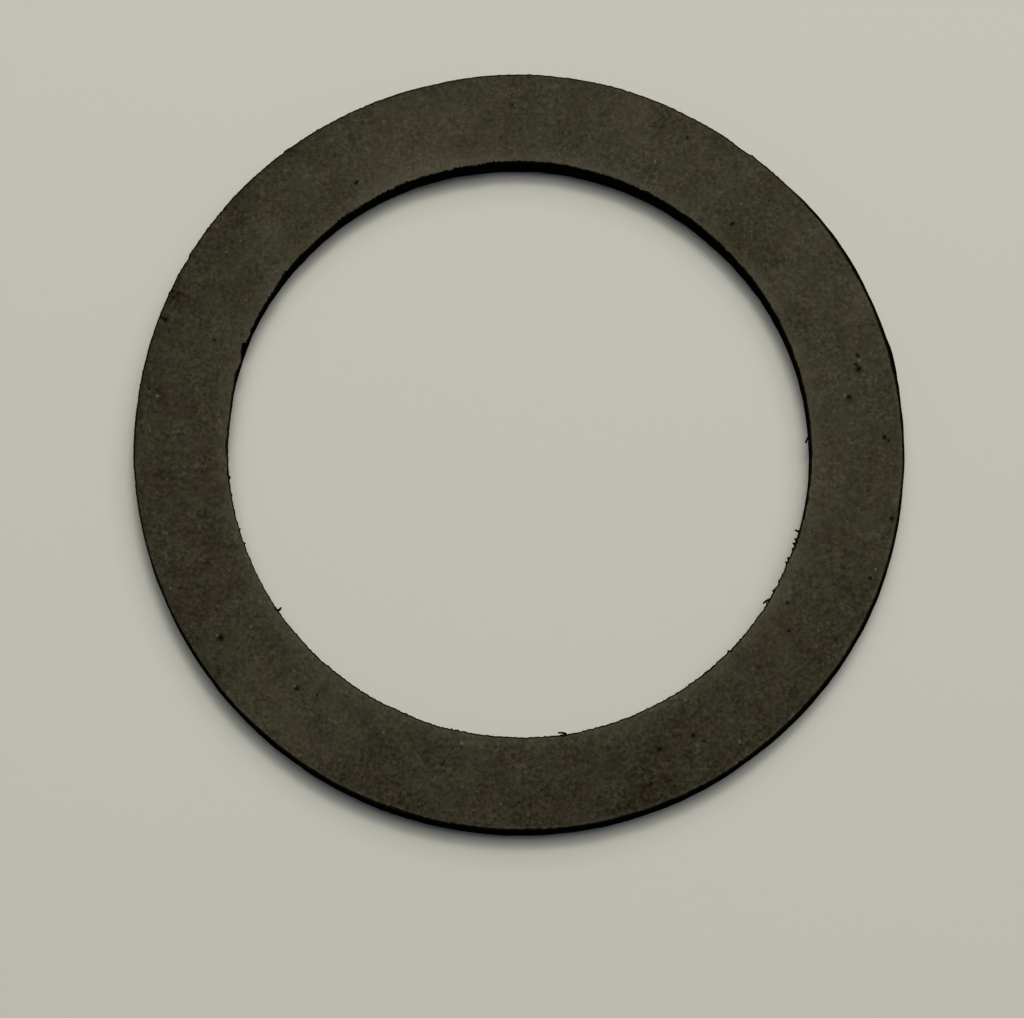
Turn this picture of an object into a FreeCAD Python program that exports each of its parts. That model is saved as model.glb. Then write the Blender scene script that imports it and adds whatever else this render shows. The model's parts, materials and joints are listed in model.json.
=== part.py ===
# Sealing ring for a fuel tank sender: one flat ring, cut from rubber sheet.
# It lies flat with its axis on +Z, and the origin is the centre of its underside.
# All sizes are in millimetres.
import FreeCAD
import Part
import Sketcher
import os
import sys

# The driving dimensions. Each one is a cell of the sheet, under the same name.
DIMENSIONS = {
    # The hole that the body of the sender goes through.
    "bore_diameter": 49.8,
    # The sealing band on the top face, from the wall of the bore to the edge of the outer cut.
    "band_width": 7.8,
    # The thickness of the rubber sheet.
    "thickness": 3.0,
    # How far the foot of the outer wall stands out past its top edge, because the cutter leaned.
    "outer_flare": 0.3,
    # The corners of the cut, which rubber never leaves quite sharp.
    "corner_radius": 0.1,
}

# The sides of the section, in the order in which its outline runs.
UNDERSIDE, OUTER_WALL, TOP_FACE, BORE_WALL = range(4)
START, END = 1, 2
CENTRE = (-1, 1)


def make_sheet(doc):
    """The table of driving dimensions: a name and a value in each row."""
    sheet = doc.addObject("Spreadsheet::Sheet", "Dimensions")
    for row, (name, value) in enumerate(DIMENSIONS.items(), start=1):
        sheet.set(f"A{row}", name)
        sheet.set(f"B{row}", str(value))
        sheet.setAlias(f"B{row}", name)
    doc.recompute()
    return sheet


def origin_plane(body, role):
    """One of the body's own base planes, found by its role."""
    return next(feature for feature in body.Origin.OriginFeatures if feature.Role == role)


def section_corners(sheet):
    """The corners of the section: X is the distance from the axis, and Y is the height."""
    bore = sheet.bore_diameter / 2
    rim = bore + sheet.band_width
    foot = rim + sheet.outer_flare
    return [
        FreeCAD.Vector(bore, 0, 0),
        FreeCAD.Vector(foot, 0, 0),
        FreeCAD.Vector(rim, sheet.thickness, 0),
        FreeCAD.Vector(bore, sheet.thickness, 0),
    ]


def size(sketch, name, expression, kind, *ends):
    """Puts a named size on the sketch and ties it to the sheet."""
    index = sketch.addConstraint(Sketcher.Constraint(kind, *ends, 1.0))
    sketch.renameConstraint(index, name)
    sketch.setExpression(f"Constraints.{name}", expression)


def sketch_section(body, sheet):
    """The section through one side of the ring, on the upright plane through the axis.

    The underside, the top face and the wall of the bore are square to one another. The outer wall
    leans out towards its foot, as far as the flare says.
    """
    sketch = body.newObject("Sketcher::SketchObject", "ring_section")
    sketch.AttachmentSupport = [(origin_plane(body, "XZ_Plane"), "")]
    sketch.MapMode = "FlatFace"

    corners = section_corners(sheet)
    for corner, next_corner in zip(corners, corners[1:] + corners[:1]):
        sketch.addGeometry(Part.LineSegment(corner, next_corner), False)
    sides = [UNDERSIDE, OUTER_WALL, TOP_FACE, BORE_WALL]
    for side, next_side in zip(sides, sides[1:] + sides[:1]):
        sketch.addConstraint(Sketcher.Constraint("Coincident", side, END, next_side, START))
    for side in (UNDERSIDE, TOP_FACE):
        sketch.addConstraint(Sketcher.Constraint("Horizontal", side))
    sketch.addConstraint(Sketcher.Constraint("Vertical", BORE_WALL))
    # The underside lies on the plane that the ring rests on.
    sketch.addConstraint(Sketcher.Constraint("DistanceY", *CENTRE, UNDERSIDE, START, 0.0))

    bore_foot = (*CENTRE, UNDERSIDE, START)
    top_face = (TOP_FACE, END, TOP_FACE, START)
    bore_wall = (BORE_WALL, END, BORE_WALL, START)
    outer_wall = (OUTER_WALL, END, OUTER_WALL, START)
    size(sketch, "bore_radius", "Dimensions.bore_diameter / 2", "DistanceX", *bore_foot)
    size(sketch, "band", "Dimensions.band_width", "DistanceX", *top_face)
    size(sketch, "height", "Dimensions.thickness", "DistanceY", *bore_wall)
    size(sketch, "flare", "Dimensions.outer_flare", "DistanceX", *outer_wall)
    return sketch


def circular_edges(shape):
    """The names of the edges that run all the way round: the four corners of the section."""
    return [
        f"Edge{number}"
        for number, edge in enumerate(shape.Edges, start=1)
        if isinstance(edge.Curve, Part.Circle)
    ]


def make_ring(doc, sheet):
    """The ring: the section turned once about the axis, with its four corners rounded."""
    body = doc.addObject("PartDesign::Body", "SealRing")
    body.Label = "seal_ring"
    section = sketch_section(body, sheet)
    doc.recompute()

    turned = body.newObject("PartDesign::Revolution", "turned_section")
    turned.Profile = section
    turned.ReferenceAxis = (section, ["V_Axis"])
    turned.Angle = 360.0
    doc.recompute()

    rounded = body.newObject("PartDesign::Fillet", "rounded_corners")
    rounded.Base = (turned, circular_edges(turned.Shape))
    rounded.setExpression("Radius", "Dimensions.corner_radius")
    doc.recompute()
    return body


def check(doc, pieces):
    """Stops the build if a feature failed or a piece has no sound shape."""
    failed = [item.Name for item in doc.Objects if {"Invalid", "Error"} & set(item.State)]
    if failed:
        sys.exit(f"these features failed: {failed}")
    for piece in pieces:
        shape = piece.Shape
        if shape.isNull() or not shape.isValid():
            sys.exit(f"{piece.Label} has no sound shape")
        print(f"{piece.Label}: {len(shape.Solids)} solid, {shape.Volume:.1f} cubic mm")


def main():
    doc = FreeCAD.newDocument("tank_sender_seal")
    sheet = make_sheet(doc)
    pieces = [make_ring(doc, sheet)]
    doc.recompute()
    check(doc, pieces)
    os.makedirs("parts", exist_ok=True)
    for piece in pieces:
        piece.Shape.exportStep(f"parts/{piece.Label}.step")


main()
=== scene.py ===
"""The looks of a fuel tank sender seal: one flat ring of black rubber, cut from sheet.

Sizes are in millimetres unless a name says otherwise, and MM turns them into the scene's metres.
Angles are in degrees, anticlockwise from +X as seen from above. The ring lies on z = 0 with its
axis on Z, as the frame has it. Colours are linear.
"""
import json
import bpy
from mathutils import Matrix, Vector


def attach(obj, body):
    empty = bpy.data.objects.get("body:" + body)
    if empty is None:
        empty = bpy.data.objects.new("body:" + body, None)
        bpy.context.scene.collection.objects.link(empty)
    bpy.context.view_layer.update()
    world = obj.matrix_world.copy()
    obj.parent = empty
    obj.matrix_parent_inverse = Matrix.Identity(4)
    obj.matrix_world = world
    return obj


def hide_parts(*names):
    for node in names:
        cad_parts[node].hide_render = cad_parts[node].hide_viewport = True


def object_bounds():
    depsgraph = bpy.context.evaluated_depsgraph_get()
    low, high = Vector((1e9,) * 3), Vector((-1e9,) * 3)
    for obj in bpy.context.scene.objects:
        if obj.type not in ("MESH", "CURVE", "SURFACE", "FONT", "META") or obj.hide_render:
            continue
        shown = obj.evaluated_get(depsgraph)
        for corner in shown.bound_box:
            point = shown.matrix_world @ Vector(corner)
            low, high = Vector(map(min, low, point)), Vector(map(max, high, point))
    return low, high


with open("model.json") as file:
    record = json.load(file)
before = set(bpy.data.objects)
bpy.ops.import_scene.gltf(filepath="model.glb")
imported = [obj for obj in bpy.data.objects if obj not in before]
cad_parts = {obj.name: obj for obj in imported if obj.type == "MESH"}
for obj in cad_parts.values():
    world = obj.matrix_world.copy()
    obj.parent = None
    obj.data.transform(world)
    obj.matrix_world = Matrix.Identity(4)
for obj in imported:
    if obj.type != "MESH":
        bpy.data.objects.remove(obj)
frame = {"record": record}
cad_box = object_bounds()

from types import SimpleNamespace

import bpy
import numpy as np
from mathutils import Matrix, Vector

MM = 0.001

# The ring's sizes, read from the frame. The real top edge stands a trace inside the bore of the
# solid, and at the rim it lies back from the foot of the solid's wall, which is its widest line.
BORE_DRAWN_IN = 0.055
RIM_BACK_FROM_FOOT = 0.235
mounts = {mount["name"]: mount for mount in frame["record"]["mounts"]}
THICKNESS = cad_box[1].z / MM
BORE_RADIUS = mounts["bore"]["dims"]["r_mm"] - BORE_DRAWN_IN
RIM_RADIUS = cad_box[1].x / MM - RIM_BACK_FROM_FOOT

# How cut the surface is, which its colour follows.
FACE = 0.0
ARRIS = 0.5
WALL = 1.0

# The corners between the faces and the cut walls, and the way over which the colour of a corner
# gives place to that of the face.
CORNER_RADIUS = 0.12
CORNER_STEPS = 3
MASK_FADE = 0.03

# The slow wander of the two cut edges off a true circle: waves round the ring, height of a wave
# and where it peaks. Another program printed these numbers: a least-squares fit of the edges in
# the photo. They stand as it printed them, without the smallest waves.
BORE_WANDER = (
    (1, 0.016, 157), (2, 0.049, 101), (3, 0.032, 117), (5, 0.029, 2), (6, 0.015, 24),
    (7, 0.014, 46), (9, 0.021, 34), (11, 0.018, 24),
)
RIM_WANDER = (
    (1, 0.017, 338), (2, 0.030, 6), (3, 0.014, 105), (4, 0.022, 87), (5, 0.013, 13),
    (6, 0.017, 22), (7, 0.030, 31), (10, 0.010, 6), (12, 0.010, 5),
)

# The finer unevenness, each kind as its RMS size and the fewest and most waves round the ring: the
# slow raggedness of the edges, the serration on top of it, the score lines along the walls, and
# the swell of the top face, which sinks a little between its edges.
BORE_RAGGED = 0.022
RIM_RAGGED = 0.012
RAGGED_WAVES = (13, 200)
FOOT_RAGGED = 0.011
FOOT_WAVES = (13, 120)
SERRATION = 0.011
SERRATION_WAVES = (200, 640)
WALL_SCORE = 0.006
WALL_SCORE_WAVES = (3, 60)
FACE_SWELL = 0.008
FACE_SWELL_WAVES = (2, 26)
FACE_SINK = 0.012

# The random draw behind each kind. The rows of a wall or of the face count on from theirs.
SEED = 20
DRAWS = {
    "bore_ragged": 1,
    "rim_ragged": 2,
    "bore_foot": 3,
    "rim_foot": 4,
    "bore_teeth": 5,
    "rim_teeth": 6,
    "bore_wall": 100,
    "top_face": 200,
    "rim_wall": 300,
}

# How strong the serration is at each angle.
BORE_TEETH = (
    (0, 1.0), (80, 1.2), (100, 2.4), (145, 2.2), (160, 1.2), (230, 1.2), (285, 1.7), (345, 1.7),
)
RIM_TEETH = ((0, 1.0), (240, 1.0), (250, 1.8), (272, 1.8), (280, 1.0))

# The lean of the walls, because the cutter did not stand square: at each angle, how much farther
# from the axis the foot of the wall is than its top. The knots were set on measurements of the
# photo.
RIM_LEAN = (
    (0, 0.50), (5, 0.545), (9, 0.60), (11, 0.655), (13, 0.765), (16, 0.835), (18, 0.79),
    (21, 0.775), (25, 0.81), (30, 0.87), (36, 0.90), (41, 0.88), (46, 0.80), (54, 0.55),
    (70, 0.35), (110, 0.22), (160, 0.08), (210, 0.045), (240, 0.095), (270, 0.18), (305, 0.21),
    (320, 0.30), (340, 0.39), (352, 0.43),
)
BORE_LEAN = (
    (0, 0.145), (10, 0.20), (20, 0.20), (30, 0.155), (40, 0.12), (50, 0.06), (60, 0.06),
    (75, -0.02), (90, -0.05), (110, 0.04), (140, 0.07), (150, 0.07), (160, 0.14), (172, 0.21),
    (180, 0.17), (190, 0.10), (300, 0.10), (320, 0.10), (330, 0.20), (340, 0.16), (350, 0.12),
)

# How far both walls are drawn in at mid-height, because the rubber bulged under the blade.
WALL_HOLLOW = 0.03

# Places where the blade started again in the top edge: angle, depth at the start, and the degrees
# over which the bite runs out. The start itself takes a small share of them. These and the other
# flaws of the edges were set one by one, on enlarged crops and measured profiles of the photo.
BORE_BITES = (
    (43.0, 0.06, 0.8), (46.1, 0.05, 0.6), (63.4, 0.06, 1.4), (80.3, 0.07, 1.1), (87.2, 0.07, 1.2),
    (96.0, 0.05, 0.7), (112.6, 0.07, 2.6), (126.3, 0.05, 0.9), (140.1, 0.05, 0.5),
    (143.0, 0.11, 2.4), (156.3, 0.08, 1.0), (159.7, 0.30, 3.3), (165.3, 0.12, 2.4),
    (331.5, 0.10, 0.7), (345.5, 0.09, 0.8),
)
RIM_BITES = (
    (52.4, 0.08, 4.5), (62.9, 0.04, 1.6), (128.6, 0.03, 1.5), (150.3, 0.09, 2.6),
    (154.2, 0.05, 1.6),
)
BITE_START = 0.08

# Small tongues of the face that stand out over the wall, or hollows where the length is below 0:
# angle, length and half width.
BORE_TONGUES = (
    (44.3, 0.05, 0.15), (62.3, 0.05, 0.15), (65.3, 0.11, 0.12), (97.4, 0.05, 0.2),
    (99.5, 0.05, 0.6), (103.8, 0.09, 0.2), (106.2, 0.07, 0.6), (115.9, 0.10, 0.12),
    (141.8, 0.06, 0.35), (157.6, 0.06, 0.3), (163.4, 0.10, 0.3), (352.0, 0.045, 2.5),
    (178.0, -0.03, 3.0), (330.0, -0.04, 2.0),
)
RIM_TONGUES = (
    (52.0, 0.04, 0.3), (127.8, 0.05, 0.35), (149.5, 0.04, 0.4), (171.1, 0.05, 0.06),
    (203.2, 0.04, 0.08), (294.8, 0.05, 0.5), (95.0, 0.025, 20.0), (187.0, -0.02, 8.0),
)

# Places where the dark of the cut reaches farther into the face, or less far where the width is
# below 0: angle, width and half width.
BORE_SCUFFS = (
    (166.5, 0.05, 0.8), (171.5, 0.06, 0.7), (176.8, 0.04, 0.4), (180.3, 0.11, 0.85),
    (183.8, -0.02, 0.4), (186.0, 0.09, 0.35), (212.2, 0.05, 0.20), (214.5, 0.08, 0.25),
    (278.3, 0.08, 0.20), (309.5, 0.05, 0.7), (315.5, 0.08, 0.12), (318.0, 0.05, 0.5),
    (328.0, 0.05, 0.20), (340.3, 0.05, 0.6), (205.0, -0.04, 5.0), (174.0, 0.03, 2.5),
)
RIM_SCUFFS = (
    (4.8, 0.04, 0.7), (12.6, 0.05, 1.0), (128.0, 0.03, 0.4), (145.3, 0.04, 0.4),
    (177.1, 0.03, 0.5), (202.0, 0.03, 1.0), (252.0, 0.10, 1.6), (272.0, 0.05, 0.8),
    (273.4, -0.06, 0.10), (313.5, 0.04, 0.7), (318.5, 0.05, 0.6), (334.1, 0.12, 0.12),
    (351.6, 0.05, 0.5), (120.0, 0.015, 20.0), (182.0, 0.035, 8.0),
)

# Burrs left standing on the top edge of the bore: angle, length, half width and sideways lean.
BORE_BURRS = (
    (186.7, 0.12, 0.14, 0.0), (190.1, 0.07, 0.12, 0.0), (197.2, 0.11, 0.07, 0.0),
    (200.2, 0.13, 0.07, 0.0), (214.9, 0.10, 0.15, 0.0), (222.5, 0.04, 0.06, 0.0),
    (225.0, 0.04, 0.06, 0.0), (237.2, 0.06, 0.06, 0.0), (237.9, 0.06, 0.06, 0.0),
    (247.5, 0.08, 0.08, 0.0), (256.6, 0.09, 0.06, 0.0), (257.9, 0.07, 0.07, 0.0),
    (278.3, 0.08, 0.15, -0.5), (286.0, 0.04, 0.08, 0.0), (304.9, 0.09, 0.08, 0.0),
    (315.3, 0.17, 0.08, -0.3), (330.2, 0.20, 0.09, -0.2), (332.4, 0.06, 0.12, 0.0),
    (336.4, 0.20, 0.11, 0.2), (337.3, 0.20, 0.11, 0.3), (339.4, 0.16, 0.11, 0.0),
    (340.5, 0.27, 0.11, 0.0), (341.3, 0.26, 0.12, 0.2),
)

# The heights on a wall, as shares of the thickness, over which the flaws of its top edge set in.
BORE_BITE_RISE = (0.35, 0.85)
RIM_BITE_RISE = (0.45, 0.95)
BURR_RISE = (5 / 6, 1)

# What the first two rows of the top face take of the flaws at the bore: the shares of a scuff, of
# a burr's length and of its lean.
FACE_FLAWS = ((0.5, 0.7, 0.7), (1.0, 0.2, 0.0))

# Loose hairs of rubber at the same edge: angle at the root, then the tip's angle, radius and
# height, and the thickness at the root and at the tip.
HAIRS = (
    (343.1, 343.2, 24.47, 2.75, 0.24, 0.15),
    (328.3, 327.0, 24.59, 2.70, 0.26, 0.14),
    (2.9, 1.25, 24.45, 2.60, 0.13, 0.17),
    (215.0, 214.75, 24.52, 2.75, 0.28, 0.15),
    (278.9, 277.4, 24.70, 2.85, 0.24, 0.14),
)

# A hair starts this deep in the rubber and this far below the top face, and leaves straight out.
HAIR_ROOT = 0.12
HAIR_STRAIGHT = 0.10
HAIR_RINGS = 9
HAIR_SIDES = 8

# The columns of the ring's mesh, in degrees: the even step, a finer one where the serration is
# strong, and the least that parts two columns.
COLUMN_STEP = 0.25
FINE_STEP = 0.125
FINE_STRETCHES = ((95, 150), (285, 345))
LEAST_STEP = 0.04

# More columns stand round the start of each bite, out to a share of its run, and round each narrow
# mark, out to a few of its half widths.
BITE_COLUMNS = 5
BITE_SPREAD = 0.12
MARK_COLUMNS = 9
MARK_SPREAD = 2
NARROW = 0.2

# The rows of the ring's mesh. Those of the top face start and end a share of its width from its
# edges.
WALL_ROWS = 6
FACE_ROWS = 5
FACE_MARGIN = 0.07
UNDERSIDE_SHARES = (0.85, 0.50, 0.15)


def off_by(angles, angle):
    """How far each angle lies from the given one, from -180 to 180."""
    return (angles - angle + 180) % 360 - 180


def waves(angles, wander):
    """The sum of a few waves round the ring."""
    total = np.zeros_like(angles)
    for count, height, peak in wander:
        total += height * np.cos(np.radians(count * (angles - peak)))
    return total


def ripple(angles, numbers, size, draw, row=0):
    """Random waves round the ring, from the fewest to the most, with the given RMS size."""
    rng = np.random.default_rng(SEED + DRAWS[draw] + row)
    counts = np.arange(*numbers)
    heights = rng.normal(size=len(counts)) / np.sqrt(counts)
    phases = rng.uniform(0, 360, len(counts))
    total = np.zeros_like(angles)
    for count, height, phase in zip(counts, heights, phases):
        total += height * np.cos(np.radians(count * angles + phase))
    return total * size / np.sqrt((heights**2).sum() / 2)


def through_knots(angles, knots):
    """A smooth curve round the ring through given knots of angle and size."""
    at = [knot[0] for knot in knots] + [knots[0][0] + 360]
    sizes = np.array([knot[1] for knot in knots] + [knots[0][1]])
    part = np.interp(angles, at, np.arange(len(at)))
    whole = np.minimum(part.astype(int), len(knots) - 1)
    ease = 0.5 - 0.5 * np.cos(np.pi * (part - whole))
    return sizes[whole] * (1 - ease) + sizes[whole + 1] * ease


def bites(angles, places):
    """How far the edge is bitten back: a sharp start that runs out evenly."""
    depth = np.zeros_like(angles)
    for start, deep, run in places:
        along = off_by(angles, start) / run
        cut_in = np.clip(along / BITE_START + 1, 0, 1)
        run_out = np.clip(1 - along, 0, 1)
        depth = np.maximum(depth, deep * cut_in * run_out)
    return depth


def bumps(angles, places, radius):
    """The sum of small rounded bumps: angle, size and half width of each."""
    total = np.zeros_like(angles)
    for angle, size, half_width in places:
        off = np.radians(off_by(angles, angle)) * radius / half_width
        total += size * np.exp(-(off**2))
    return total


def burr_push(angles):
    """How far the burrs draw each column of the bore's top edge inward, and how far sideways."""
    inward = np.zeros_like(angles)
    sideways = np.zeros_like(angles)
    for angle, length, half_width, sway in BORE_BURRS:
        bump = bumps(angles, [(angle, length, half_width)], BORE_RADIUS)
        inward += bump
        sideways += bump * sway
    return inward, sideways


def column_angles():
    """The angles of the mesh's columns: even, and closer together at each flaw of the edges."""
    angles = [np.arange(0, 360, COLUMN_STEP)]
    for start, end in FINE_STRETCHES:
        angles.append(np.arange(start, end, FINE_STEP))
    for start, _, run in BORE_BITES + RIM_BITES:
        angles.append(start + np.linspace(-BITE_SPREAD, BITE_SPREAD, BITE_COLUMNS) * run)
    marks = BORE_BURRS + BORE_TONGUES + BORE_SCUFFS + RIM_TONGUES + RIM_SCUFFS
    for angle, _, half_width, *_ in marks:
        if half_width < NARROW:
            spread = np.linspace(-MARK_SPREAD, MARK_SPREAD, MARK_COLUMNS)
            angles.append(angle + spread * np.degrees(half_width / BORE_RADIUS))
    angles = np.unique(np.round(np.concatenate(angles) % 360, 3))
    return angles[np.append(np.diff(angles) > LEAST_STEP, True)]


def edge_lines(angles):
    """The lines round the ring that its section is drawn between, and the flaws of its top edges:
    how far a bite goes back into the rubber, how far a scuff goes into the face, and how far a
    burr stands out and leans."""
    line = SimpleNamespace()
    line.bore = BORE_RADIUS + waves(angles, BORE_WANDER)
    line.rim = RIM_RADIUS + waves(angles, RIM_WANDER)

    bore_ragged = ripple(angles, RAGGED_WAVES, BORE_RAGGED, "bore_ragged")
    rim_ragged = ripple(angles, RAGGED_WAVES, RIM_RAGGED, "rim_ragged")
    bore_serration = ripple(angles, SERRATION_WAVES, SERRATION, "bore_teeth")
    rim_serration = ripple(angles, SERRATION_WAVES, SERRATION, "rim_teeth")
    line.bore_edge = line.bore + bore_ragged + through_knots(angles, BORE_TEETH) * bore_serration
    line.rim_edge = line.rim + rim_ragged + through_knots(angles, RIM_TEETH) * rim_serration

    bore_uneven = ripple(angles, FOOT_WAVES, FOOT_RAGGED, "bore_foot")
    rim_uneven = ripple(angles, FOOT_WAVES, FOOT_RAGGED, "rim_foot")
    line.bore_foot = line.bore + through_knots(angles, BORE_LEAN) + bore_uneven
    line.rim_foot = line.rim + through_knots(angles, RIM_LEAN) + rim_uneven

    line.bore_bite = bites(angles, BORE_BITES) - bumps(angles, BORE_TONGUES, BORE_RADIUS)
    line.rim_bite = bites(angles, RIM_BITES) - bumps(angles, RIM_TONGUES, RIM_RADIUS)
    line.bore_scuff = bumps(angles, BORE_SCUFFS, BORE_RADIUS)
    line.rim_scuff = bumps(angles, RIM_SCUFFS, RIM_RADIUS)
    line.burr, line.burr_sway = burr_push(angles)
    line.bore_top = line.bore_edge + line.bore_bite
    line.rim_top = line.rim_edge - line.rim_bite
    return line


def risen(share, rise):
    """How far a flaw has set in at a share of the height: from 0 where the rise starts to 1."""
    start, end = rise
    return np.clip((share - start) / (end - start), 0, 1)


def wall_lines(angles, foot, top, hollow_sign, draw):
    """The lines of a cut wall, from its foot to its top corner: radius, height, and that height as
    a share of the thickness."""
    lines = []
    heights = np.linspace(CORNER_RADIUS, THICKNESS - CORNER_RADIUS, WALL_ROWS)
    for row, height in enumerate(heights):
        share = height / THICKNESS
        hollow = hollow_sign * WALL_HOLLOW * 4 * share * (1 - share)
        score = ripple(angles, WALL_SCORE_WAVES, WALL_SCORE, draw, row)
        lines.append((foot + (top - foot) * share + hollow + score, height, share))
    return lines


def bore_wall(angles, line):
    """The wall of the bore, upward. The bites fade out down it, and the burrs only mark its top."""
    rows = []
    for radius, height, share in wall_lines(angles, line.bore_foot, line.bore_edge, 1, "bore_wall"):
        bite = line.bore_bite * risen(share, BORE_BITE_RISE)
        burr = risen(share, BURR_RISE)
        rows.append((radius + bite - line.burr * burr, height, WALL, line.burr_sway * burr))
    return rows


def outer_wall(angles, line):
    """The outer wall, downward."""
    rows = []
    for radius, height, share in wall_lines(angles, line.rim_foot, line.rim_edge, -1, "rim_wall"):
        rows.append((radius - line.rim_bite * risen(share, RIM_BITE_RISE), height, WALL, 0.0))
    return rows[::-1]


def corner(wall, level, out, up, from_wall, sway=0.0):
    """A rounded corner between a wall and the face at a level, run either way. out is 1 at the rim
    and -1 at the bore, and up is 1 at the top face and -1 at the underside."""
    rows = []
    for turn in np.linspace(0, np.pi / 2, CORNER_STEPS + 2)[1:-1]:
        inset = CORNER_RADIUS * (1 - np.cos(turn))
        drop = CORNER_RADIUS * (1 - np.sin(turn))
        rows.append((wall - out * inset, level - up * drop, ARRIS, sway))
    return rows if from_wall else rows[::-1]


def top_face(angles, line):
    """The top face, from the bore to the rim."""
    start = line.bore_top + CORNER_RADIUS
    end = line.rim_top - CORNER_RADIUS
    rows = []
    for scuff, burr, sway in FACE_FLAWS:
        radius = start + line.bore_scuff * scuff - line.burr * burr
        rows.append((radius, THICKNESS, ARRIS, line.burr_sway * sway))
    rows.append((start + line.bore_scuff + MASK_FADE, THICKNESS, FACE, 0.0))
    shares = np.linspace(FACE_MARGIN, 1 - FACE_MARGIN, FACE_ROWS)
    for row, share in enumerate(shares):
        # Two rows side by side swell together.
        swell = ripple(angles, FACE_SWELL_WAVES, FACE_SWELL, "top_face", row // 2)
        radius = line.bore + (line.rim - line.bore) * share
        rows.append((radius, THICKNESS - FACE_SINK + swell, FACE, 0.0))
    rows.append((end - line.rim_scuff - MASK_FADE, THICKNESS, FACE, 0.0))
    rows.append((end - line.rim_scuff, THICKNESS, ARRIS, 0.0))
    return rows


def underside(line):
    """The underside, from the rim to the bore."""
    start = line.rim_foot - CORNER_RADIUS
    end = line.bore_foot + CORNER_RADIUS
    rows = [(start, 0.0, ARRIS, 0.0), (start - MASK_FADE, 0.0, FACE, 0.0)]
    for share in UNDERSIDE_SHARES:
        radius = line.bore_foot + (line.rim_foot - line.bore_foot) * share
        rows.append((radius, 0.0, FACE, 0.0))
    return rows + [(end + MASK_FADE, 0.0, FACE, 0.0), (end, 0.0, ARRIS, 0.0)]


def section_rows(angles):
    """The ring's section at each column, as rows that run once round it: distance from the axis,
    height, how cut the surface is, and how far the row is pushed sideways."""
    line = edge_lines(angles)
    return (
        bore_wall(angles, line)
        + corner(line.bore_top - line.burr, THICKNESS, -1, 1, True, line.burr_sway)
        + top_face(angles, line)
        + corner(line.rim_top, THICKNESS, 1, 1, False)
        + outer_wall(angles, line)
        + corner(line.rim_foot, 0.0, 1, -1, True)
        + underside(line)
        + corner(line.bore_foot, 0.0, -1, -1, False)
    )


def grid_faces(row_count, column_count):
    """The faces of a grid that closes on itself both ways, wound so that they look outward."""
    row, column = np.meshgrid(np.arange(row_count), np.arange(column_count), indexing="ij")
    next_row = (row + 1) % row_count
    next_column = (column + 1) % column_count
    corners = [(row, column), (next_row, column), (next_row, next_column), (row, next_column)]
    return np.stack([r * column_count + c for r, c in corners], -1).reshape(-1, 4).tolist()


def mesh_piece(name, points, faces, cut, material):
    """A smooth mesh object from points in millimetres and how cut each of them is."""
    mesh = bpy.data.meshes.new(name)
    mesh.from_pydata((points * MM).tolist(), [], faces)
    mask = mesh.attributes.new("cut", "FLOAT", "POINT")
    mask.data.foreach_set("value", cut.astype(np.float32))
    mesh.shade_smooth()
    mesh.materials.append(material)
    mesh.validate()
    piece = bpy.data.objects.new(name, mesh)
    bpy.context.scene.collection.objects.link(piece)
    return piece


def make_ring(material):
    angles = column_angles()
    rows = section_rows(angles)
    points = []
    for radius, height, _, sway in rows:
        turn = np.radians(angles) + sway / radius
        level = np.broadcast_to(height, angles.shape)
        points.append(np.stack([radius * np.cos(turn), radius * np.sin(turn), level], -1))
    cut = np.repeat([row[2] for row in rows], len(angles))
    faces = grid_faces(len(rows), len(angles))
    return mesh_piece("seal_ring_skin", np.concatenate(points), faces, cut, material)


def polar(angle, radius, height):
    """A point given by its angle, its distance from the axis and its height."""
    turn = np.radians(angle)
    return np.array([radius * np.cos(turn), radius * np.sin(turn), height])


def hair_path(root_angle, tip_angle, tip_radius, tip_height):
    """The curved line of a hair, from inside the rubber to its tip."""
    root = polar(root_angle, BORE_RADIUS + HAIR_ROOT, THICKNESS - HAIR_ROOT)
    leave = polar(root_angle, BORE_RADIUS - HAIR_STRAIGHT, THICKNESS - HAIR_ROOT)
    tip = polar(tip_angle, tip_radius, tip_height)
    steps = np.linspace(0, 1, HAIR_RINGS)[:, None]
    return (1 - steps) ** 2 * root + 2 * steps * (1 - steps) * leave + steps**2 * tip


def hair_points(path, root_thick, tip_thick):
    """The rings of points round a hair's line, which taper to its tip."""
    ahead = np.gradient(path, axis=0)
    ahead /= np.linalg.norm(ahead, axis=1)[:, None]
    across = np.cross(ahead, (0, 0, 1))
    across /= np.linalg.norm(across, axis=1)[:, None]
    over = np.cross(across, ahead)
    turns = np.linspace(0, 2 * np.pi, HAIR_SIDES, endpoint=False)[None, :, None]
    radii = np.linspace(root_thick, tip_thick, HAIR_RINGS)[:, None, None] / 2
    spokes = np.cos(turns) * across[:, None] + np.sin(turns) * over[:, None]
    return (path[:, None] + radii * spokes).reshape(-1, 3)


def hair_faces(first):
    """The faces of a hair's closed tube, whose points are numbered from first on."""
    faces = []
    sides = range(HAIR_SIDES)
    last = first + (HAIR_RINGS - 1) * HAIR_SIDES
    for start in range(first, last, HAIR_SIDES):
        beyond = start + HAIR_SIDES
        for side in sides:
            after = (side + 1) % HAIR_SIDES
            faces.append([start + side, start + after, beyond + after, beyond + side])
    faces.append([first + side for side in reversed(sides)])
    faces.append([last + side for side in sides])
    return faces


def make_hairs(material):
    """The hairs of rubber: thin closed tubes that taper to their tips."""
    points = []
    faces = []
    for *line, root_thick, tip_thick in HAIRS:
        faces += hair_faces(len(points) * HAIR_RINGS * HAIR_SIDES)
        points.append(hair_points(hair_path(*line), root_thick, tip_thick))
    points = np.concatenate(points)
    return mesh_piece("edge_hairs", points, faces, np.full(len(points), WALL), material)


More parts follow.
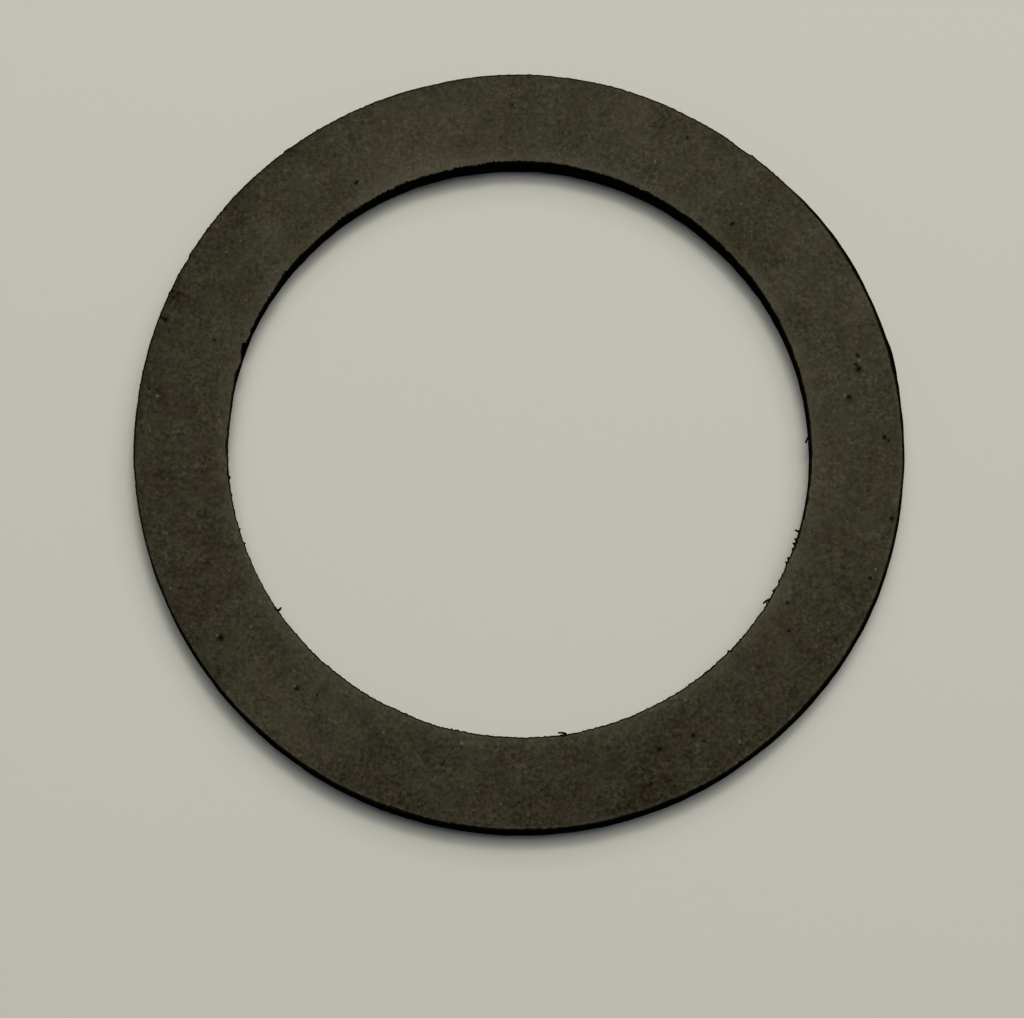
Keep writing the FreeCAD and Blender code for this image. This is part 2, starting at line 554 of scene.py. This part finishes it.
class Tree:
    """A short way to write a material's nodes."""

    def __init__(self, name):
        self.material = bpy.data.materials.new(name)
        self.material.use_nodes = True
        self.nodes = self.material.node_tree.nodes
        self.links = self.material.node_tree.links
        self.shader = self.nodes["Principled BSDF"]

    def add(self, kind, settings=(), **inputs):
        """A node with its settings. input0 and the like name a socket by its number."""
        node = self.nodes.new(kind)
        for name, value in dict(settings).items():
            setattr(node, name, value)
        for name, value in inputs.items():
            self.set(node, name.replace("_", " "), value)
        return node

    def set(self, node, name, value):
        """Links a socket, or sets it to a constant."""
        socket = node.inputs[int(name[5:]) if name.startswith("input") else name]
        if isinstance(value, bpy.types.NodeSocket):
            self.links.new(value, socket)
        else:
            socket.default_value = value

    def math(self, operation, *values):
        node = self.add("ShaderNodeMath", {"operation": operation})
        for number, value in enumerate(values):
            self.set(node, f"input{number}", value)
        return node.outputs[0]

    def vector(self, operation, *values):
        """Works on vectors, and gives a vector, or a number for a length and the like."""
        node = self.add("ShaderNodeVectorMath", {"operation": operation})
        for number, value in enumerate(values):
            self.set(node, f"input{number}", value)
        gives_number = operation in ("DISTANCE", "DOT_PRODUCT", "LENGTH")
        return node.outputs["Value" if gives_number else "Vector"]

    def noise(self, vector, size, detail, roughness=0.5, output="Fac"):
        """Noise from 0 to 1 whose features are about the given size in millimetres."""
        node = self.add("ShaderNodeTexNoise", Vector=vector, Scale=1 / (size * MM))
        self.set(node, "Detail", detail)
        self.set(node, "Roughness", roughness)
        return node.outputs[output]

    def ramp(self, value, low, high, to_low=0.0, to_high=1.0):
        """Takes a value from one range to another, with soft ends."""
        node = self.add("ShaderNodeMapRange", {"interpolation_type": "SMOOTHSTEP"}, Value=value)
        ends = {"From Min": low, "From Max": high, "To Min": to_low, "To Max": to_high}
        for name, end in ends.items():
            self.set(node, name, end)
        return node.outputs[0]

    def mix(self, share, first, second, blend="MIX"):
        settings = {"data_type": "RGBA", "blend_type": blend, "clamp_factor": True}
        node = self.add("ShaderNodeMix", settings, input0=share, input6=first, input7=second)
        return node.outputs[2]


# The colours of the rubber. The bloom on its faces goes from dark to light with the grain, up to a
# full value, and its hue drifts a little from place to place.
BLOOM_DARK = (0.0064, 0.0046, 0.0003, 1)
BLOOM_LIGHT = (0.0810, 0.0712, 0.0458, 1)
BLOOM_FULL = 1.5
BROWN_TINT = (1.021, 0.985, 0.992, 1)
GREEN_TINT = (0.974, 1.020, 1.007, 1)
SMUDGE_COLOUR = (0.062, 0.046, 0.036, 1)
PIT_COLOUR = (0.0050, 0.0042, 0.0010, 1)
SPECK_COLOUR = (0.105, 0.098, 0.074, 1)
ARRIS_COLOUR = (0.0060, 0.0050, 0.0018, 1)
# The cut walls: black rubber, painted darker than its own colour as painted shade on the walls.
CUT_DARK = (0.0009, 0.0009, 0.0008, 1)
CUT_LIGHT = (0.0046, 0.0044, 0.0037, 1)
RUBBER_ROUGHNESS = 0.6

# The noises of the grain and of the other patterns: size of the features, detail, and roughness
# where it isn't the usual half.
GRAIN = (0.36, 3.0, 0.65)
DUST = (0.15, 1.0)
CURLS = (0.5, 1.0)
STROKE_PATCHES = (0.7, 1.0)
BLOTCHES = (2.0, 3.0, 0.6)
VIGOUR = (2.6, 1.0)
WOBBLE = (0.3, 1.0)
TINT_PATCHES = (2.1, 3.0, 0.62)
SCORING = (0.9, 3.0, 0.6)

# How the patterns add up to the bloom. The grain is sharpened by a power. The strokes follow the
# middle of the curls, as wide as their band, where the stroke patches are in their range.
GRAIN_POWER = 1.4
GRAIN_STRENGTH = 1.32
GRAIN_LEVEL = -0.50
DUST_STRENGTH = 0.44
STROKE_BAND = 0.07
STROKE_RANGE = (0.44, 0.66)
STROKE_STRENGTH = 0.37
STROKE_LEVEL = -0.06
BLOTCH_STRENGTH = 0.57
BLOOM_LEVEL = 0.365

# The ranges of noise over which the grain goes from faint to strong, the hue from brown to green,
# and the scoring of the walls from dark to light. The squeeze in height draws the scoring out
# along the walls.
VIGOUR_RANGE = (0.36, 0.64)
VIGOUR_STRENGTH = (0.82, 1.18)
TINT_RANGE = (0.38, 0.62)
SCORING_RANGE = (0.36, 0.64)
SCORING_SQUEEZE = (1, 1, 5)

# The grain is also a little raised.
BUMP_STRENGTH = 0.3
BUMP_HEIGHT = 0.02

# Painted sheen: the face is painted lighter towards one side of the ring, as the lamps' sheen would
# light it. The bloom is heavier along the edge of the bore, and thinner along the rim. Each leaning
# to a side is a direction and a strength.
PAINTED_SHEEN_SIDE = (48, 0.077)
BORE_BLOOM = 0.28
BORE_BLOOM_WIDTH = 1.8
RIM_SHADE = 0.055
RIM_SHADE_WIDTH = 3.5

# A painted highlight, a pale line standing in for the sheen on the rounded corners, runs along both
# edges, and is clearest on the side nearer to the camera. It sets in between two distances from the
# edge.
BORE_PAINTED_HIGHLIGHT = 0.05
BORE_HIGHLIGHT_SIDE = (258, 0.09)
BORE_HIGHLIGHT_REACH = (0.40, 0.24)
RIM_PAINTED_HIGHLIGHT = 0.06
RIM_HIGHLIGHT_SIDE = (315, 0.085)
RIM_HIGHLIGHT_REACH = (0.50, 0.25)

# Near the bore the hue goes towards green.
BORE_GREEN = 0.5
BORE_GREEN_REACH = (0.9, 0.3)

# Places where the bloom is heavier or thinner: angle, distance from the axis, size and strength.
# Another program printed most of these rows: it fitted soft patches to the difference in brightness
# between the photo and a render. They were rounded, and a few were set one by one.
BLOOM_PATCHES = (
    (228, 31.0, 9.0, 0.22), (109, 25.0, 9.0, 0.29), (45, 25.0, 6.0, -0.24),
    (291, 32.5, 13.0, -0.15), (324, 32.5, 13.0, -0.11), (139, 28.6, 3.0, 0.22),
    (24, 32.5, 4.0, 0.18), (72, 31.0, 2.5, 0.18), (156, 32.5, 2.5, -0.26), (210, 25.0, 6.0, 0.10),
    (324, 25.0, 4.0, 0.14), (36, 32.5, 2.5, 0.15), (171, 32.5, 4.0, -0.13),
    (138, 32.5, 4.0, -0.14), (240, 29.5, 2.5, 0.14), (25, 25.0, 3.0, -0.20),
    (150, 28.0, 2.5, -0.12), (357, 26.5, 4.0, 0.08), (336, 31.0, 2.5, -0.12),
    (69, 29.5, 2.5, 0.09), (95, 25.0, 2.0, 0.10), (8, 25.0, 2.0, -0.08), (330, 25.0, 2.5, 0.08),
    (309, 31.0, 2.5, -0.08),
)

# Marks on the top face: angle, distance from the axis, and radius. Another program, which looks for
# dark and light spots, printed most places of the pits and specks. The radii were set one by one.
PITS = (
    (213.4, 30.17, 0.52), (294.4, 28.41, 0.32), (349.2, 32.22, 0.36), (228.0, 28.07, 0.38),
    (15.7, 30.09, 0.33), (13.5, 29.87, 0.50), (14.3, 29.80, 0.28), (1.8, 31.19, 0.30),
    (1.3, 31.55, 0.24), (269.7, 30.38, 0.20), (271.1, 32.31, 0.20), (62.0, 30.92, 0.26),
    (339.4, 29.46, 0.18), (9.0, 28.55, 0.40), (46.9, 26.83, 0.36), (160.4, 32.11, 0.42),
    (160.25, 32.45, 0.30), (317.1, 27.62, 0.18), (300.6, 28.67, 0.34), (259.2, 26.16, 0.16),
    (301.7, 29.51, 0.20), (249.8, 30.00, 0.17), (45.2, 30.63, 0.18), (161.0, 27.56, 0.20),
    (302.2, 27.27, 0.17), (256.5, 27.90, 0.18), (329.4, 26.34, 0.27), (306.2, 31.52, 0.17),
    (121.5, 26.95, 0.34), (325.3, 27.65, 0.25), (339.3, 31.82, 0.24), (231.5, 27.33, 0.20),
)
SPECKS = (
    (259.1, 25.91, 0.21), (340.9, 31.96, 0.19), (227.4, 28.00, 0.18), (65.1, 27.69, 0.18),
    (245.0, 27.09, 0.17), (90.1, 31.44, 0.16), (270.8, 27.86, 0.15), (302.8, 25.74, 0.15),
    (306.3, 31.22, 0.16), (112.5, 30.78, 0.16), (172.4, 31.10, 0.17), (212.7, 30.24, 0.14),
    (81.6, 26.48, 0.15), (266.9, 30.60, 0.14), (9.4, 28.18, 0.16), (202.9, 31.98, 0.14),
    (48.3, 28.75, 0.17), (14.8, 30.14, 0.16),
)
SMUDGES = (
    (139.0, 28.68, 0.9), (70.1, 28.65, 1.3), (68.4, 30.73, 1.1), (40.9, 31.03, 0.9),
    (312.7, 32.30, 0.5),
)

# The share of a mark's radius over which it fades out at its rim.
PIT_SOFT = 0.85
SPECK_SOFT = 0.9
FULLY_SOFT = 1.0

# How strong the smudges are, and the range of the grain that shows them.
SMUDGE_STRENGTH = 0.55
SMUDGE_RANGE = (0.35, 0.7)

# The smaller pits and specks are scattered: spacing, smallest and largest radius, and the share of
# places that has one. They are fainter than the marks above, and full up to a share of their
# radius.
SMALL_PITS = (1.1, 0.08, 0.17, 0.14)
SMALL_SPECKS = (1.2, 0.07, 0.15, 0.22)
SMALL_STRENGTH = 0.5
SMALL_FULL = 0.45

# How far the outlines of the pits and of the larger specks are pushed about.
MARK_WOBBLE = 0.35


def mark(tree, place, angle, radius, size, soft):
    """A round mark on the top face: 1 at its centre, falling to 0 at its rim."""
    centre = Vector(polar(angle, radius, THICKNESS)) * MM
    return tree.ramp(tree.vector("DISTANCE", place, centre), size * MM, size * (1 - soft) * MM)


def marks(tree, place, places, soft):
    """Many marks as one mask."""
    total = 0.0
    for angle, radius, size in places:
        total = tree.math("MAXIMUM", total, mark(tree, place, angle, radius, size, soft))
    return total


def toward(tree, place, leaning):
    """A value that grows evenly across the ring in one direction, and is 0 on the axis."""
    angle, strength = leaning
    side = Vector(polar(angle, 1, 0)) * (strength / (BORE_RADIUS * MM))
    return tree.vector("DOT_PRODUCT", place, side)


def scatter(tree, place, spacing, smallest, largest, share):
    """Random dots: one at most in each cell of the given spacing, in the given share of cells."""
    cell = tree.add("ShaderNodeTexVoronoi", {"feature": "F1"}, Vector=place)
    tree.set(cell, "Scale", 1 / (spacing * MM))
    chance = tree.add("ShaderNodeSeparateColor", Color=cell.outputs["Color"])
    wanted = tree.math("LESS_THAN", chance.outputs[0], share)
    size = tree.ramp(chance.outputs[1], 0.0, 1.0, smallest / spacing, largest / spacing)
    near = tree.math("DIVIDE", cell.outputs["Distance"], size)
    return tree.math("MULTIPLY", wanted, tree.ramp(near, 1.0, SMALL_FULL))


def grainy_bloom(tree, place, grain):
    """How light the bloom is from its grain: speckle, dust, short strokes from the sheet's
    rolling, and soft blotches. The fine layers are stronger in some patches than in others."""
    dust = tree.noise(place, *DUST)
    curls = tree.math("ABSOLUTE", tree.math("SUBTRACT", tree.noise(place, *CURLS), 0.5))
    stroke_patches = tree.ramp(tree.noise(place, *STROKE_PATCHES), *STROKE_RANGE)
    strokes = tree.math("MULTIPLY", tree.ramp(curls, STROKE_BAND, 0.0), stroke_patches)
    speckle = tree.math("POWER", grain, GRAIN_POWER)
    fine = tree.math("MULTIPLY_ADD", speckle, GRAIN_STRENGTH, GRAIN_LEVEL)
    even_dust = tree.math("MULTIPLY_ADD", dust, DUST_STRENGTH, -DUST_STRENGTH / 2)
    fine = tree.math("ADD", fine, even_dust)
    even_strokes = tree.math("MULTIPLY_ADD", strokes, STROKE_STRENGTH, STROKE_LEVEL)
    fine = tree.math("ADD", fine, even_strokes)
    vigour = tree.ramp(tree.noise(place, *VIGOUR), *VIGOUR_RANGE, *VIGOUR_STRENGTH)
    blotches = tree.noise(place, *BLOTCHES)
    broad = tree.math("MULTIPLY_ADD", blotches, BLOTCH_STRENGTH, BLOOM_LEVEL)
    return tree.math("MULTIPLY_ADD", fine, vigour, broad)


def painted_edge_highlight(tree, place, light, inside, reach, strength, side):
    """Adds the painted highlight, a pale line, along an edge. inside is how far each place lies in
    from that edge.
    """
    leaning = tree.math("ADD", toward(tree, place, side), strength)
    near = tree.ramp(inside, reach[0] * MM, reach[1] * MM)
    return tree.math("MULTIPLY_ADD", near, leaning, light)


def slow_bloom_and_painted_light(tree, place, from_bore, from_rim, light):
    """Adds the slow changes of the bloom across the ring and along its edges, with the painted
    sheen towards one side and the painted highlights along the edges.
    """
    # Painted sheen: the face is painted lighter towards one side.
    light = tree.math("ADD", light, toward(tree, place, PAINTED_SHEEN_SIDE))
    bore_bloom = tree.ramp(from_bore, BORE_BLOOM_WIDTH * MM, 0.0, 0.0, BORE_BLOOM)
    rim_shade = tree.ramp(from_rim, RIM_SHADE_WIDTH * MM, 0.0, 0.0, -RIM_SHADE)
    light = tree.math("ADD", light, tree.math("ADD", bore_bloom, rim_shade))
    # Painted highlights along both edges.
    light = painted_edge_highlight(tree, place, light, from_bore, BORE_HIGHLIGHT_REACH, BORE_PAINTED_HIGHLIGHT, BORE_HIGHLIGHT_SIDE)
    light = painted_edge_highlight(tree, place, light, from_rim, RIM_HIGHLIGHT_REACH, RIM_PAINTED_HIGHLIGHT, RIM_HIGHLIGHT_SIDE)
    for angle, distance, size, strength in BLOOM_PATCHES:
        patch = mark(tree, place, angle, distance, size, FULLY_SOFT)
        light = tree.math("MULTIPLY_ADD", patch, strength, light)
    return light


def tinted(tree, place, from_bore, colour):
    """The bloom's colour with its drift of hue."""
    start, full = BORE_GREEN_REACH
    greener = tree.ramp(from_bore, start * MM, full * MM, 0.0, BORE_GREEN)
    patches = tree.ramp(tree.noise(place, *TINT_PATCHES), *TINT_RANGE)
    tint = tree.mix(tree.math("ADD", patches, greener), BROWN_TINT, GREEN_TINT)
    return tree.mix(1.0, colour, tint, "MULTIPLY")


def wobbled(tree, place):
    """Places pushed about a little in the plane of the face."""
    push = tree.vector("SUBTRACT", tree.noise(place, *WOBBLE, output="Color"), (0.5, 0.5, 0.5))
    return tree.vector("MULTIPLY_ADD", push, (MARK_WOBBLE * MM, MARK_WOBBLE * MM, 0), place)


def marked(tree, place, grain, colour):
    """The face's colour with its smudges, pits and specks, the small ones on an even scatter."""
    rough_place = wobbled(tree, place)
    smudges = marks(tree, place, SMUDGES, FULLY_SOFT)
    smudges = tree.math("MULTIPLY", smudges, tree.ramp(grain, *SMUDGE_RANGE))
    smudges = tree.math("MULTIPLY", smudges, SMUDGE_STRENGTH)
    colour = tree.mix(smudges, colour, SMUDGE_COLOUR)
    small = tree.math("MULTIPLY", scatter(tree, rough_place, *SMALL_PITS), SMALL_STRENGTH)
    pits = tree.math("MAXIMUM", small, marks(tree, rough_place, PITS, PIT_SOFT))
    colour = tree.mix(pits, colour, PIT_COLOUR)
    small = tree.math("MULTIPLY", scatter(tree, place, *SMALL_SPECKS), SMALL_STRENGTH)
    specks = tree.math("MAXIMUM", small, marks(tree, rough_place, SPECKS, SPECK_SOFT))
    return tree.mix(specks, colour, SPECK_COLOUR)


def scored(tree, place):
    """The colour of the cut walls, scored by the blade along its path. It is painted darker than
    the rubber, as painted shade on the walls.
    """
    squeezed = tree.vector("MULTIPLY", place, SCORING_SQUEEZE)
    return tree.mix(tree.ramp(tree.noise(squeezed, *SCORING), *SCORING_RANGE), CUT_DARK, CUT_LIGHT)


def rubber():
    """Black rubber sheet: bloomed to a dull olive grey on its faces, and near black where cut,
    which is partly the rubber's own black and partly painted shade.
    """
    tree = Tree("seal_rubber")
    place = tree.add("ShaderNodeTexCoord").outputs["Object"]
    cut = tree.add("ShaderNodeAttribute", {"attribute_name": "cut"}).outputs["Fac"]
    radius = tree.vector("LENGTH", tree.vector("MULTIPLY", place, (1, 1, 0)))
    from_bore = tree.math("SUBTRACT", radius, BORE_RADIUS * MM)
    from_rim = tree.math("SUBTRACT", RIM_RADIUS * MM, radius)
    grain = tree.noise(place, *GRAIN)

    light = slow_bloom_and_painted_light(tree, place, from_bore, from_rim, grainy_bloom(tree, place, grain))
    colour = tree.mix(tree.math("DIVIDE", light, BLOOM_FULL), BLOOM_DARK, BLOOM_LIGHT)
    colour = tinted(tree, place, from_bore, colour)
    colour = marked(tree, place, grain, colour)
    colour = tree.mix(tree.ramp(cut, FACE, ARRIS), colour, ARRIS_COLOUR)
    # The cut walls: their own black with painted shade.
    colour = tree.mix(tree.ramp(cut, ARRIS, WALL), colour, scored(tree, place))

    tree.set(tree.shader, "Base Color", colour)
    tree.set(tree.shader, "Roughness", RUBBER_ROUGHNESS)
    tree.set(tree.shader, "Specular IOR Level", 0.0)
    bump_height = BUMP_HEIGHT * MM
    bump = tree.add("ShaderNodeBump", Strength=BUMP_STRENGTH, Distance=bump_height, Height=grain)
    tree.set(tree.shader, "Normal", bump.outputs[0])
    return tree.material


# The floor: a plain pale sheet, a hair below the ring's underside.
FLOOR_COLOUR = (0.532, 0.516, 0.437, 1)
FLOOR_HALF = 1500
FLOOR_DROP = 0.01


def make_floor():
    tree = Tree("pale_floor")
    tree.set(tree.shader, "Base Color", FLOOR_COLOUR)
    tree.set(tree.shader, "Roughness", 1.0)
    tree.set(tree.shader, "Specular IOR Level", 0.0)
    corners = [(-1, -1), (1, -1), (1, 1), (-1, 1)]
    points = [(x * FLOOR_HALF * MM, y * FLOOR_HALF * MM, -FLOOR_DROP * MM) for x, y in corners]
    mesh = bpy.data.meshes.new("floor")
    mesh.from_pydata(points, [], [(0, 1, 2, 3)])
    mesh.materials.append(tree.material)
    floor = bpy.data.objects.new("floor", mesh)
    bpy.context.scene.collection.objects.link(floor)


# The lamps: level panels above the ring, set back and a little to the right, so that the shadows
# fall towards the camera. The centre and the size of each are given as shares of its height.
# Another program printed all of these, fitted to the shadows in the photo. The powers were then
# raised a little together.
LAMPS = {
    "small_panel": {"height": 875, "centre": (0.041, 0.436), "size": (0.276, 0.179), "watts": 2.71},
    "near_panel": {"height": 1400, "centre": (0.018, 0.229), "size": (0.603, 0.328), "watts": 5.99},
    "wide_panel": {"height": 1088, "centre": (0.182, 0.641), "size": (1.3, 1.3), "watts": 11.85},
}


def make_lamps():
    for name, panel in LAMPS.items():
        height = panel["height"] * MM
        lamp = bpy.data.lights.new(name, "AREA")
        lamp.shape = "RECTANGLE"
        lamp.size = panel["size"][0] * height
        lamp.size_y = panel["size"][1] * height
        lamp.energy = panel["watts"]
        placed = bpy.data.objects.new(name, lamp)
        placed.location = Vector((*panel["centre"], 1)) * height
        bpy.context.scene.collection.objects.link(placed)


# A weak, cool fill comes evenly from all sides. Only the camera and the rays that a surface
# mirrors or lets through see the backdrop, at its own pale colour.
FILL_COLOUR = (0.45, 0.60, 1.0, 1)
FILL_STRENGTH = 0.085
BACKDROP_COLOUR = (0.80, 0.79, 0.75, 1)


def make_surroundings():
    world = bpy.data.worlds.new("studio")
    world.use_nodes = True
    nodes = world.node_tree.nodes
    links = world.node_tree.links
    fill = nodes["Background"]
    fill.inputs["Color"].default_value = FILL_COLOUR
    fill.inputs["Strength"].default_value = FILL_STRENGTH
    backdrop = nodes.new("ShaderNodeBackground")
    backdrop.inputs["Color"].default_value = BACKDROP_COLOUR
    path = nodes.new("ShaderNodeLightPath")
    seen = path.outputs["Is Camera Ray"]
    for kind in ("Is Glossy Ray", "Is Transmission Ray"):
        either = nodes.new("ShaderNodeMath")
        either.operation = "MAXIMUM"
        links.new(seen, either.inputs[0])
        links.new(path.outputs[kind], either.inputs[1])
        seen = either.outputs[0]
    choice = nodes.new("ShaderNodeMixShader")
    links.new(seen, choice.inputs[0])
    links.new(fill.outputs[0], choice.inputs[1])
    links.new(backdrop.outputs[0], choice.inputs[2])
    links.new(choice.outputs[0], nodes["World Output"].inputs["Surface"])
    bpy.context.scene.world = world


# The camera, above the ring and a little in front of it, as the photo was taken. Its place, aim
# and lens were fitted to the rims of the ring and to the ruler, and rounded. It sees what lies
# between the near and the far distance.
CAMERA_PLACE = (-12.50, -59.93, 310.69)
CAMERA_AIM = (-0.68, -5.45, 3.0)
CAMERA_LENS = 129.6
CAMERA_SENSOR = 36.0
CAMERA_NEAR = 10
CAMERA_FAR = 10000


def make_camera():
    data = bpy.data.cameras.new("camera")
    data.sensor_fit = "HORIZONTAL"
    data.sensor_width = CAMERA_SENSOR
    data.lens = CAMERA_LENS
    data.clip_start = CAMERA_NEAR * MM
    data.clip_end = CAMERA_FAR * MM
    camera = bpy.data.objects.new("camera", data)
    place = Vector(CAMERA_PLACE) * MM
    back = (place - Vector(CAMERA_AIM) * MM).normalized()
    right = Vector((0, 1, 0)).cross(back).normalized()
    up = back.cross(right)
    turn = Matrix((right, up, back)).transposed().to_4x4()
    camera.matrix_world = Matrix.Translation(place) @ turn
    bpy.context.scene.collection.objects.link(camera)
    bpy.context.scene.camera = camera


bpy.context.scene.view_settings.view_transform = "Standard"
finish = rubber()
ring = make_ring(finish)
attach(ring, "root")
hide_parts("seal_ring")
hairs = make_hairs(finish)
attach(hairs, "root")
make_floor()
make_lamps()
make_surroundings()
make_camera()
